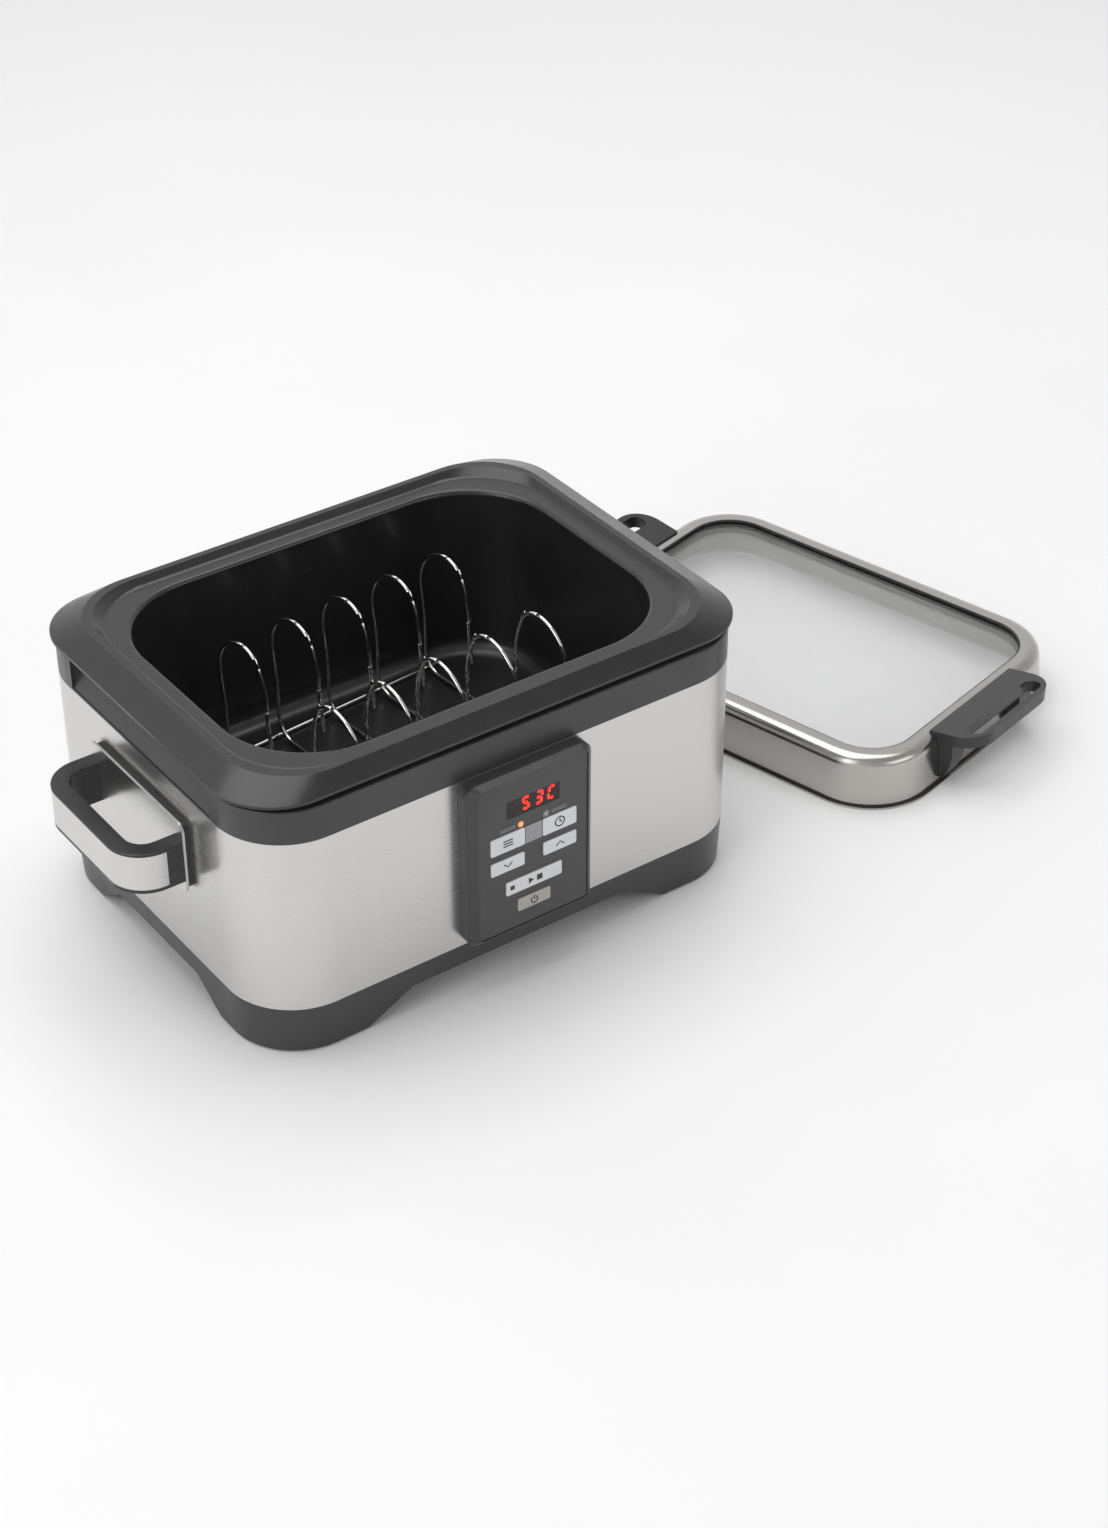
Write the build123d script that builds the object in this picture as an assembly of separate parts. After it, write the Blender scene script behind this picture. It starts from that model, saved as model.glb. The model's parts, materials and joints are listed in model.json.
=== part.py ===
from build123d import *
import os
from math import cos, radians, sin, sqrt

# A rectangular countertop cooker with its lid lying beside it. Millimetres; X runs along the
# front, -Y is the front and +Z is up. The origin is on the surface that the cooker stands on,
# under the middle of its body.
#
# A "ring" below is a rounded rectangle about the Z axis: (half length, half depth, corner radius).

# ---- body ----
BODY_LENGTH = 360.0
BODY_DEPTH = 271.0
BODY_CORNER = 46.5
SHELL_BOTTOM = 34.0
SHELL_TOP = 155.0
SHELL_SHEET = 0.8
SEAM_GAP = 0.1
TONGUE_GAP = 0.2
TONGUE_WALL = 2.0
TONGUE_HEIGHT = 6.0

# ---- base tray and feet ----
PAD_PROUD = 1.5
PAD_RADIUS = 11.0
PAD_SEAT = 1.0
PAD_INSET = 34.0
POST_WALL = 2.5
SKIRT_DRAFT = 1.6
SKIRT_WALL = 3.0
ARCH_HEIGHT = 19.0
ARCH_RUN = 34.5
ARCH_RUN_SIDE = 28.0
FOOT_LENGTH = 66.0
FOOT_DEPTH = 60.0
TRAY_FLOOR_BOTTOM = 20.0
TRAY_FLOOR = 2.5
VENT_LENGTH = 40.0
VENT_WIDTH = 3.0
VENT_PITCH = 8.0
VENT_COUNT = 7
VENT_X = 92.0

# ---- top bezel ----
BEZEL_TOP = 177.5
BEZEL_WALL = 2.5
BEZEL_EDGE = 1.2
RIM_GAP = 0.3
RIM_WALL = 2.5
SCOOP_HALF = 82.0
SCOOP_CORNER = 9.5
SCOOP_BOTTOM = 156.5
SCOOP_DEPTH_BOTTOM = 0.8
SCOOP_DEPTH_TOP = 10.0

# ---- cooking pot ----
FLANGE_OUT_X = 2.5
FLANGE_IN_Y = 1.5
FLANGE_CORNER = 43.0
FLANGE_BOTTOM = 180.8
FLANGE_EDGE = 1.9
SLOPE_X = 16.6
SLOPE_Y = 9.7
RIDGE_CORNER = 46.0
RIDGE_WIDTH = 4.2
RIDGE_Z = 191.0
STEP_WIDTH = 3.7
RECESS_CORNER = 52.0
RECESS_Z = 186.6
LEDGE_WIDTH = 7.6
MOUTH_CORNER = 63.0
LIP_RADIUS = 3.0
POT_WALL = 3.0
POT_DRAFT = 3.2
POT_FLOOR = 65.0
POT_FILLET = 12.0
FLANGE_SHEET = 2.4
LEVEL_Z = 163.0
LEVEL_LENGTH = 15.0
LEVEL_RIB = 1.2
LEVEL_X = -3.0

# ---- heater ----
POT_GAP = 2.0
LINER_SHEET = 0.8
LINER_FLOOR = 50.0
LINER_FLANGE = 6.0
PLATE_GAP = 0.5
PLATE_BOTTOM = 52.6
PLATE_INSET = 40.0
ELEMENT_RADIUS = 3.2
ELEMENT_RISE = 1.2
ELEMENT_INSET = 22.0
ELEMENT_GAP_HALF = 16.0
ELEMENT_END_Z = 44.0
ELEMENT_CORNER = 26.0
ELEMENT_CORNER_SHARE = 0.8
FIT_GAP = 0.1
BUSH_RADIUS = 6.0
TAB_WIDTH = 6.3
TAB_THICK = 0.8
TAB_LENGTH = 9.0
PLATE_LEG_RADIUS = 4.0
SENSOR_CAP_RADIUS = 8.0
SENSOR_CAP = 3.5
SENSOR_STEM_RADIUS = 3.0
SENSOR_GAP = 0.3
SENSOR_CLEAR = 0.6
SENSOR_TAIL = 38.0
SPRING_RADIUS = 5.0
SPRING_WIRE = 0.45
SPRING_TURNS = 4
FUSE_RADIUS = 2.6
FUSE_LENGTH = 22.0

# ---- control panel ----
PANEL_WIDTH = 91.0
PANEL_BOTTOM = 36.5
PANEL_TOP = 154.5
PANEL_CORNER = 8.0
PANEL_SIDE = 8.5
PANEL_BEVEL = 5.0
PANEL_BEVEL_TOP = 2.2
PANEL_WALL = 2.5
PANEL_BACK = 1.5
BOARD_POST_INSET = 4.5
BOARD_POST_RADIUS = 2.5
SLEEVE_DEPTH = 6.0
OVERLAY_SINK = 0.6
OVERLAY_THICK = 1.0
OVERLAY_BORDER = 0.6
OVERLAY_GAP = 0.25
FACE_PLATE = 2.0
WINDOW_SIZE = (38.5, 12.7)
WINDOW_UP = 35.5
WINDOW_THICK = 1.6
LAMP_UP = 22.2
LAMP_X = 9.2
LAMP_RADIUS = 1.6
LAMP_PROUD = 0.3
KEY_CORNER = 1.2
KEY_GAP = 0.25
KEY_PROUD = 0.8
KEY_TRAVEL = 0.5
KEY_FLANGE = 0.9
KEY_FLANGE_OUT = 0.8
KEY_STEM_RADIUS = 1.8
TOP_KEY_SIZE = (24.8, 12.4)
TOP_KEY_X = 18.9
TOP_KEY_UP = 12.9
STRIP_SIZE = (12.0, 12.4)
STRIP_PROUD = 0.5
ARROW_KEY_SIZE = (24.4, 9.6)
ARROW_KEY_X = 19.1
ARROW_KEY_UP = -3.3
START_KEY_SIZE = (41.0, 10.0)
START_KEY_UP = -21.9
START_LAMP_X = 16.0
START_LAMP_SIZE = 3.2
POWER_KEY_SIZE = (24.0, 9.3)
POWER_KEY_UP = -37.3
DIGIT_SIZE = (5.6, 9.4)
DIGIT_PITCH = 9.4
DIGIT_STROKE = 1.4
DIGIT_SLANT = 8.0
DIGIT_RIGHT = 14.2
DIGIT_THICK = 0.3
BOARD_THICK = 1.6
BOARD_BACK = 9.6
SWITCH_SIZE = 6.0
SWITCH_HEIGHT = 3.4
SWITCH_PLUNGER = 1.6
SHELL_WINDOW_INSET = 12.0

# ---- power electronics ----
POWER_BOARD = (110.0, 52.0)
POWER_BOARD_Y = 62.0
STANDOFF = 5.0
STANDOFF_RADIUS = 3.5
BOARD_HOLE_INSET = 5.0
BOARD_SCREW_RADIUS = 1.5
TIE_BOLT_INSET = 58.0
TIE_BOLT_X = BODY_LENGTH / 2 - TIE_BOLT_INSET
TIE_BOLT_RADIUS = 2.5
NUT_HALF = 4.0
NUT_HEIGHT = 4.0
HEAD_HEIGHT = 2.6
GLAND_X = 118.0
GLAND_Z = 58.0
GLAND_RADIUS = 8.0
GLAND_BORE = 3.6
GLAND_FLANGE = 11.0

# ---- base handles ----
HANDLE_LENGTH = 112.0
HANDLE_OUT = 37.0
HANDLE_BAR = 11.2
HANDLE_CORNER = 24.0
HANDLE_BOTTOM = 96.5
HANDLE_TOP = 124.5
BAND_SHEET = 1.0
BAND_BOTTOM = 99.0
BAND_TOP = 122.8
BAND_END = 11.0
MOUNT_LENGTH = 112.0
MOUNT_BOTTOM = 86.0
MOUNT_TOP = 136.0
MOUNT_PLATE = 1.6
MOUNT_SPACER = 3.4
HANDLE_SCREW_RADIUS = 2.0
HANDLE_SCREW_REACH = 14.0

# ---- pouch rack ----
WIRE = 1.3
RACK_REST = 0.3
RACK_COUNT = 5
RACK_END_GAP = 39.6
RACK_SIDE_GAP = 20.1
RACK_SPREAD = 3.0
RACK_HEIGHT = 98.8
RACK_TROUGH = 30.0
RACK_TROUGH_HALF = 23.0
RACK_ROD_OVER = 12.0
RACK_TURN = 4.8
RACK_X = 6.7
RACK_Y = 12.5
WELD = 0.3

# ---- lid ----
LID_BESIDE = 166.0
LID_X = BODY_LENGTH / 2 + LID_BESIDE
LID_Y = 18.0
LID_TURN = -75.5
LID_CLEARANCE = 1.5
LID_LIP = 2.4
LID_LIP_THICK = 1.4
LID_HEIGHT = 37.0
LID_DRAFT = 3.0
LID_SHOULDER = 8.0
LID_SHEET = 0.9
LID_RIM = 13.0
LID_MOUTH_CORNER = 33.0
GLASS_THICK = 4.0
GLASS_LAP = 4.0
GASKET_WALL = 0.8
GASKET_BEAD = 0.9
SEAL_HEIGHT = 0.9
SEAL_OUT = 0.6
GRIP_LENGTH = 98.0
GRIP_OUT = 28.0
GRIP_RISE = 8.0
GRIP_LAP = 7.0
GRIP_CORNER = 20.0
GRIP_BAR_DEEP = 9.5
GRIP_BRACKET = 15.0
GRIP_EDGE = 0.8
GRIP_FOOT_Z = 5.0
GRIP_SLOT_LENGTH = 80.0
GRIP_SLOT_WIDTH = 13.0
GRIP_SLOT_EDGE = 5.0
GRIP_GAP = 0.15
LID_SCREW_RADIUS = 1.6
LID_SCREW_Y = 41.5
LID_SCREW_REACH = 7.0

BODY = (BODY_LENGTH / 2, BODY_DEPTH / 2, BODY_CORNER)
FRONT = -BODY[1]
SIDE = BODY[0]


def inset(ring, step_x, step_y=None, corner=None):
    """The ring drawn in by a step on each side; a negative step lets it out."""
    step_y = step_x if step_y is None else step_y
    corner = ring[2] - step_x if corner is None else corner
    return ring[0] - step_x, ring[1] - step_y, corner


def outline(ring, z):
    return Pos(0, 0, z) * RectangleRounded(2 * ring[0], 2 * ring[1], ring[2])


def tower(*levels):
    """A solid with straight walls from each (ring, z) to the next."""
    return loft([outline(ring, z) for ring, z in levels], ruled=True)


def prism(ring, bottom, top):
    return extrude(outline(ring, bottom), top - bottom)


def rod(radius, start, end):
    """A round bar from one point to another along X, Y or Z."""
    path = Edge.make_line(start, end)
    return sweep(Plane(origin=start, z_dir=path % 0) * Circle(radius), path=path)


def block(low, high):
    size = [b - a for a, b in zip(low, high)]
    return Pos(*low) * Box(*size, align=(Align.MIN,) * 3)


def both_sides(part):
    """The part and its mirror image across the YZ plane."""
    return [part, mirror(part, about=Plane.YZ)]


# ---- rings that several pieces share ----
FLANGE = inset(BODY, -FLANGE_OUT_X, FLANGE_IN_Y, FLANGE_CORNER)
RIDGE_OUTER = inset(FLANGE, SLOPE_X, SLOPE_Y, RIDGE_CORNER)
RIDGE_INNER = inset(RIDGE_OUTER, RIDGE_WIDTH, corner=RIDGE_CORNER + 1)
RECESS = inset(RIDGE_INNER, STEP_WIDTH, corner=RECESS_CORNER)
MOUTH = inset(RECESS, LEDGE_WIDTH, corner=MOUTH_CORNER)
WALL_TOP = inset(MOUTH, LIP_RADIUS)
WALL_BOTTOM = inset(WALL_TOP, POT_DRAFT)
TUB_TOP = inset(WALL_TOP, -POT_WALL)
TUB_BOTTOM = inset(WALL_BOTTOM, -POT_WALL)
LINER_INNER = inset(TUB_TOP, -POT_GAP)
LINER_OUTER = inset(LINER_INNER, -LINER_SHEET)
LEDGE_UNDERSIDE = RECESS_Z - POT_WALL
POT_BOTTOM = POT_FLOOR - POT_WALL
FLAT_FLOOR = inset(WALL_BOTTOM, POT_FILLET)
RACK_FOOT = FLAT_FLOOR[1] - RACK_SIDE_GAP
RACK_PITCH = 2 * (FLAT_FLOOR[0] - RACK_END_GAP - RACK_ROD_OVER) / (RACK_COUNT - 1)


# ---- base ----
def foot_places():
    x = SIDE - PAD_INSET
    y = BODY[1] - PAD_INSET
    return [(sx * x, sy * y) for sx in (-1, 1) for sy in (-1, 1)]


def arch(half_open, run, along_x):
    """The opening under one pair of walls, wider at the floor than at its flat top."""
    reach = BODY_LENGTH
    points = [(-half_open, 0), (half_open, 0), (half_open - run, ARCH_HEIGHT), (run - half_open, ARCH_HEIGHT)]
    plane = Plane.XZ if along_x else Plane.YZ
    return extrude(plane * make_face(Polyline(*points, close=True)), reach, both=True)


def tie_bolt_places():
    return [(-TIE_BOLT_X, 0), (TIE_BOLT_X, 0)]


def power_board_holes():
    half_x = POWER_BOARD[0] / 2 - BOARD_HOLE_INSET
    half_y = POWER_BOARD[1] / 2 - BOARD_HOLE_INSET
    return [(sx * half_x, POWER_BOARD_Y + sy * half_y) for sx in (-1, 1) for sy in (-1, 1)]


def vents():
    slot = Rot(0, 0, 90) * SlotOverall(VENT_LENGTH, VENT_WIDTH)
    first = -(VENT_COUNT - 1) / 2
    places = [sx * VENT_X + (first + i) * VENT_PITCH for sx in (-1, 1) for i in range(VENT_COUNT)]
    front_y = FRONT / 2
    return [extrude(Pos(x, front_y, TRAY_FLOOR_BOTTOM) * slot, TRAY_FLOOR) for x in places]


def base_tray():
    floor_top = TRAY_FLOOR_BOTTOM + TRAY_FLOOR
    foot_ring = inset(BODY, SKIRT_DRAFT)
    wall = tower((foot_ring, PAD_PROUD), (BODY, SHELL_BOTTOM))
    wall -= tower((inset(foot_ring, SKIRT_WALL), PAD_PROUD), (inset(BODY, SKIRT_WALL), SHELL_BOTTOM))
    wall -= arch(SIDE - FOOT_LENGTH, ARCH_RUN, True)
    wall -= arch(BODY[1] - FOOT_DEPTH, ARCH_RUN_SIDE, False)
    tray = wall + prism(inset(BODY, SKIRT_WALL), TRAY_FLOOR_BOTTOM, floor_top)
    tongue = inset(BODY, SHELL_SHEET + TONGUE_GAP)
    tongue_bottom = SHELL_BOTTOM - TONGUE_HEIGHT
    tray += prism(tongue, SHELL_BOTTOM, SHELL_BOTTOM + TONGUE_HEIGHT) - prism(
        inset(tongue, TONGUE_WALL), SHELL_BOTTOM, SHELL_BOTTOM + TONGUE_HEIGHT)
    tray += prism(inset(BODY, SKIRT_WALL - 1), tongue_bottom, SHELL_BOTTOM) - prism(
        inset(tongue, TONGUE_WALL), tongue_bottom, SHELL_BOTTOM)
    for x, y in foot_places():
        tray += Pos(x, y, PAD_PROUD) * extrude(Circle(PAD_RADIUS + POST_WALL), TRAY_FLOOR_BOTTOM - PAD_PROUD)
        tray -= Pos(x, y, PAD_PROUD) * extrude(Circle(PAD_RADIUS), PAD_SEAT)
    for x, y in power_board_holes():
        tray += Pos(x, y, floor_top) * extrude(Circle(STANDOFF_RADIUS), STANDOFF)
        tray -= Pos(x, y, TRAY_FLOOR_BOTTOM + 1) * extrude(Circle(BOARD_SCREW_RADIUS + FIT_GAP), STANDOFF + TRAY_FLOOR)
    for x, y in tie_bolt_places():
        tray -= Pos(x, y, TRAY_FLOOR_BOTTOM) * extrude(Circle(TIE_BOLT_RADIUS + FIT_GAP), TRAY_FLOOR)
    for vent in vents():
        tray -= vent
    return tray


def foot_pads():
    pad = extrude(Circle(PAD_RADIUS), PAD_PROUD + PAD_SEAT)
    pad = chamfer(pad.faces().sort_by(Axis.Z)[0].edges(), 0.5)
    return [Pos(x, y, 0) * pad for x, y in foot_places()]


def tie_bolts():
    bolts = []
    for x, y in tie_bolt_places():
        bolt = Pos(x, y, TRAY_FLOOR_BOTTOM) * extrude(
            Circle(TIE_BOLT_RADIUS), LINER_FLOOR + LINER_SHEET + NUT_HEIGHT - TRAY_FLOOR_BOTTOM)
        head = Pos(x, y, TRAY_FLOOR_BOTTOM - HEAD_HEIGHT) * extrude(Circle(2 * TIE_BOLT_RADIUS), HEAD_HEIGHT)
        bolts.append(bolt + head)
    return bolts


def tie_nuts():
    nut = extrude(RegularPolygon(NUT_HALF, 6, major_radius=False), NUT_HEIGHT)
    nut -= extrude(Circle(TIE_BOLT_RADIUS + FIT_GAP), NUT_HEIGHT)
    return [Pos(x, y, LINER_FLOOR + LINER_SHEET) * nut for x, y in tie_bolt_places()]


# ---- outer shell ----
def panel_centre():
    return (PANEL_BOTTOM + PANEL_TOP) / 2


def panel_face(size, corner, y, up=0.0, x=0.0):
    """A rounded rectangle in the panel's plane at depth y, placed from the panel's centre."""
    plane = Plane(origin=(x, y, panel_centre() + up), x_dir=(1, 0, 0), z_dir=(0, -1, 0))
    return plane * RectangleRounded(size[0], size[1], corner)


def front_face(shrink, corner, y):
    """The panel's front outline, whose border is narrower at the top than at the sides."""
    width, height = panel_size(PANEL_BEVEL + shrink)
    taller = PANEL_BEVEL - PANEL_BEVEL_TOP
    return panel_face((width, height + taller), corner, y, taller / 2)


def shell_window_size():
    height = PANEL_TOP - PANEL_BOTTOM
    return PANEL_WIDTH - 2 * SHELL_WINDOW_INSET, height - 2 * SHELL_WINDOW_INSET


def handle_screw_places():
    y = HANDLE_LENGTH / 2 - HANDLE_BAR / 2
    z = (HANDLE_TOP + HANDLE_BOTTOM) / 2
    return [(-y, z), (y, z)]


def outer_shell():
    """The steel wrap: four bent sheets, butted behind the handles, behind the panel and at the back."""
    shell = prism(BODY, SHELL_BOTTOM, SHELL_TOP) - prism(inset(BODY, SHELL_SHEET), SHELL_BOTTOM, SHELL_TOP)
    shell -= extrude(panel_face(shell_window_size(), PANEL_CORNER / 2, FRONT + 5), 10)
    for y, z in handle_screw_places():
        for hole in both_sides(rod(HANDLE_SCREW_RADIUS + FIT_GAP, (-SIDE - 5, y, z), (-SIDE + 5, y, z))):
            shell -= hole
    shell -= rod(GLAND_RADIUS + FIT_GAP, (GLAND_X, BODY[1] - 5, GLAND_Z), (GLAND_X, BODY[1] + 5, GLAND_Z))
    shell -= Pos(0, 0, SHELL_TOP / 2) * Box(SEAM_GAP, 2 * BODY_DEPTH, 2 * SHELL_TOP)
    shell -= Pos(0, 0, SHELL_TOP / 2) * Box(2 * BODY_LENGTH, SEAM_GAP, 2 * SHELL_TOP)
    return shell.solids()


def cord_gland():
    """The bush in the back wall that the mains cord passes through."""
    y = BODY[1]
    gland = rod(GLAND_RADIUS, (GLAND_X, y - 8, GLAND_Z), (GLAND_X, y, GLAND_Z))
    gland += rod(GLAND_FLANGE, (GLAND_X, y, GLAND_Z), (GLAND_X, y + 3, GLAND_Z))
    gland += rod(GLAND_RADIUS - 1, (GLAND_X, y + 3, GLAND_Z), (GLAND_X, y + 12, GLAND_Z))
    gland += rod(GLAND_FLANGE, (GLAND_X, y - 8, GLAND_Z), (GLAND_X, y - SHELL_SHEET, GLAND_Z))
    return gland - rod(GLAND_BORE, (GLAND_X, y - 8, GLAND_Z), (GLAND_X, y + 12, GLAND_Z))


# ---- top bezel ----
def scoop(grow):
    """The finger recess in the bezel's left end: a pocket whose back slants inwards to the top."""
    low = SCOOP_BOTTOM - grow
    high = BEZEL_TOP + grow
    x = -SIDE
    plan = Pos(x, 0, low) * RectangleRounded(
        2 * (SCOOP_DEPTH_TOP + grow), 2 * (SCOOP_HALF + grow), SCOOP_CORNER + grow)
    points = [(x - BODY_CORNER, low), (x + SCOOP_DEPTH_BOTTOM + grow, low),
              (x + SCOOP_DEPTH_TOP + grow, high), (x - BODY_CORNER, high)]
    slant = Plane.XZ * make_face(Polyline(*points, close=True))
    return extrude(plan, high - low) & extrude(slant, BODY_LENGTH, both=True)


def top_bezel():
    bezel = prism(BODY, SHELL_TOP, BEZEL_TOP)
    bezel = fillet(bezel.faces().sort_by(Axis.Z)[-1].edges(), BEZEL_EDGE)
    cavity = prism(inset(BODY, BEZEL_WALL), SHELL_TOP, BEZEL_TOP - BEZEL_WALL)
    for cut, keep in zip(both_sides(scoop(0)), both_sides(scoop(BEZEL_WALL))):
        bezel -= cut
        cavity -= keep
    bezel -= cavity
    bezel += prism(inset(RECESS, 1.0), BEZEL_TOP - BEZEL_WALL, LEDGE_UNDERSIDE - RIM_GAP) - prism(
        inset(RECESS, 1.0 + RIM_WALL), BEZEL_TOP - BEZEL_WALL, LEDGE_UNDERSIDE - RIM_GAP)
    tongue = inset(BODY, SHELL_SHEET + TONGUE_GAP)
    bezel += prism(tongue, SHELL_TOP - TONGUE_HEIGHT, SHELL_TOP + 1) - prism(
        inset(tongue, TONGUE_WALL), SHELL_TOP - TONGUE_HEIGHT, SHELL_TOP + 1)
    return bezel - prism(LINER_INNER, SHELL_TOP, LEDGE_UNDERSIDE)


# ---- heater ----
def element_ring():
    half_x, half_y, _ = inset(WALL_BOTTOM, PLATE_INSET + ELEMENT_INSET)
    return half_x, half_y, min(ELEMENT_CORNER, ELEMENT_CORNER_SHARE * min(half_x, half_y))


def element_z():
    return PLATE_BOTTOM + ELEMENT_RISE + ELEMENT_RADIUS


def element_path():
    """A flat loop, open at the front, whose two ends turn down to the terminals."""
    half_x, half_y, corner = element_ring()
    z = element_z()
    gap = ELEMENT_GAP_HALF
    turn = 1.9 * ELEMENT_RADIUS
    points = [(gap, -half_y, ELEMENT_END_Z), (gap, -half_y, z), (half_x, -half_y, z), (half_x, half_y, z),
              (-half_x, half_y, z), (-half_x, -half_y, z), (-gap, -half_y, z), (-gap, -half_y, ELEMENT_END_Z)]
    return FilletPolyline(*points, radius=[turn, corner, corner, corner, corner, turn])


def element_bar(radius):
    path = element_path()
    return sweep(Plane(origin=path @ 0, z_dir=path % 0) * Circle(radius), path=path)


def heating_element():
    return element_bar(ELEMENT_RADIUS)


def terminal_places():
    y = -element_ring()[1]
    return [(-ELEMENT_GAP_HALF, y), (ELEMENT_GAP_HALF, y)]


def heater_liner():
    top = BEZEL_TOP - BEZEL_WALL
    liner = prism(LINER_OUTER, LINER_FLOOR, top)
    liner += prism(inset(LINER_OUTER, -LINER_FLANGE), top - LINER_SHEET, top)
    liner -= prism(LINER_INNER, LINER_FLOOR + LINER_SHEET, top)
    for x, y in terminal_places():
        liner -= Pos(x, y, LINER_FLOOR) * extrude(Circle(BUSH_RADIUS - 1 + FIT_GAP), LINER_SHEET)
    for x, y in tie_bolt_places():
        liner -= Pos(x, y, LINER_FLOOR) * extrude(Circle(TIE_BOLT_RADIUS + FIT_GAP), LINER_SHEET)
    return liner - Pos(0, 0, LINER_FLOOR) * extrude(Circle(SENSOR_STEM_RADIUS + SENSOR_CLEAR), LINER_SHEET)


def heater_plate():
    """The cast plate under the pot, on four short legs, with a channel for the element."""
    ring = inset(element_ring(), -ELEMENT_INSET)
    plate = prism(ring, PLATE_BOTTOM, POT_BOTTOM - PLATE_GAP)
    plate -= element_bar(ELEMENT_RADIUS + FIT_GAP)
    z = element_z()
    channel = prism(inset(element_ring(), -ELEMENT_RADIUS - FIT_GAP), PLATE_BOTTOM, z)
    plate -= channel - prism(inset(element_ring(), ELEMENT_RADIUS + FIT_GAP), PLATE_BOTTOM, z)
    for sx in (-1, 1):
        for sy in (-1, 1):
            x = sx * (ring[0] - PLATE_LEG_RADIUS - 6)
            y = sy * (ring[1] - ring[2] / 2)
            height = PLATE_BOTTOM - LINER_FLOOR - LINER_SHEET
            plate += Pos(x, y, LINER_FLOOR + LINER_SHEET) * extrude(Circle(PLATE_LEG_RADIUS), height + 1)
    return plate - Pos(0, 0, PLATE_BOTTOM) * extrude(Circle(SENSOR_CAP_RADIUS + SENSOR_CLEAR), POT_BOTTOM)


def element_bushes():
    """Ceramic bushes that carry the element's ends through the liner's floor."""
    bushes = []
    for x, y in terminal_places():
        bush = Pos(x, y, ELEMENT_END_Z) * extrude(Circle(BUSH_RADIUS), LINER_FLOOR - ELEMENT_END_Z)
        bush += Pos(x, y, LINER_FLOOR) * extrude(Circle(BUSH_RADIUS - 1), LINER_SHEET)
        bushes.append(bush - Pos(x, y, ELEMENT_END_Z) * extrude(Circle(ELEMENT_RADIUS + FIT_GAP), BUSH_RADIUS * 2))
    return bushes


def element_tabs():
    top = ELEMENT_END_Z
    return [block((x - TAB_WIDTH / 2, y - TAB_THICK / 2, top - TAB_LENGTH), (x + TAB_WIDTH / 2, y + TAB_THICK / 2, top))
            for x, y in terminal_places()]


def sensor_top():
    return POT_BOTTOM - SENSOR_GAP


def temperature_sensor():
    """The sprung button in the middle of the heater that presses on the pot's underside."""
    cap_bottom = sensor_top() - SENSOR_CAP
    cap = Pos(0, 0, cap_bottom) * extrude(Circle(SENSOR_CAP_RADIUS), SENSOR_CAP)
    cap = fillet(cap.faces().sort_by(Axis.Z)[-1].edges(), 1.0)
    return cap + Pos(0, 0, SENSOR_TAIL) * extrude(Circle(SENSOR_STEM_RADIUS), cap_bottom - SENSOR_TAIL)


def sensor_spring():
    bottom = LINER_FLOOR + LINER_SHEET + SPRING_WIRE
    height = sensor_top() - SENSOR_CAP - SPRING_WIRE - bottom
    path = Helix(pitch=height / SPRING_TURNS, height=height, radius=SPRING_RADIUS, center=(0, 0, bottom))
    return sweep(Plane(origin=path @ 0, z_dir=path % 0) * Circle(SPRING_WIRE), path=path)


def thermal_fuse():
    """The one-shot fuse clamped under the liner's floor."""
    z = LINER_FLOOR - FUSE_RADIUS
    x = 45.0
    fuse = rod(FUSE_RADIUS, (x - FUSE_LENGTH / 2, 0, z), (x + FUSE_LENGTH / 2, 0, z))
    lead = rod(0.5, (x - FUSE_LENGTH, 0, z), (x + FUSE_LENGTH, 0, z))
    return fuse + lead


# ---- control panel ----
def panel_planes():
    """Depths of the panel's layers, from its front face inwards."""
    face = FRONT - PANEL_SIDE - PANEL_BEVEL
    overlay_front = face + OVERLAY_SINK
    overlay_back = overlay_front + OVERLAY_THICK
    plate_back = overlay_back + FACE_PLATE
    board_front = face + BOARD_BACK
    return face, overlay_front, overlay_back, plate_back, board_front


def panel_size(shrink):
    return PANEL_WIDTH - 2 * shrink, PANEL_TOP - PANEL_BOTTOM - 2 * shrink


def deep(face, depth):
    """The face extended backwards, into the panel."""
    return extrude(face, -depth)


KEYS = {
    "menu_key": (TOP_KEY_SIZE, -TOP_KEY_X, TOP_KEY_UP),
    "time_key": (TOP_KEY_SIZE, TOP_KEY_X, TOP_KEY_UP),
    "down_key": (ARROW_KEY_SIZE, -ARROW_KEY_X, ARROW_KEY_UP),
    "up_key": (ARROW_KEY_SIZE, ARROW_KEY_X, ARROW_KEY_UP),
    "start_key": (START_KEY_SIZE, 0.0, START_KEY_UP),
    "power_key": (POWER_KEY_SIZE, 0.0, POWER_KEY_UP),
}


def grown(size, step):
    return size[0] + 2 * step, size[1] + 2 * step


def key_cut(name, step, front, depth):
    size, x, up = KEYS[name]
    return deep(panel_face(grown(size, step), KEY_CORNER + step, front, up, x), depth)


def lamp_bar(x, front, depth, radius):
    z = panel_centre() + LAMP_UP
    return rod(radius, (x, front, z), (x, front + depth, z))


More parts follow.
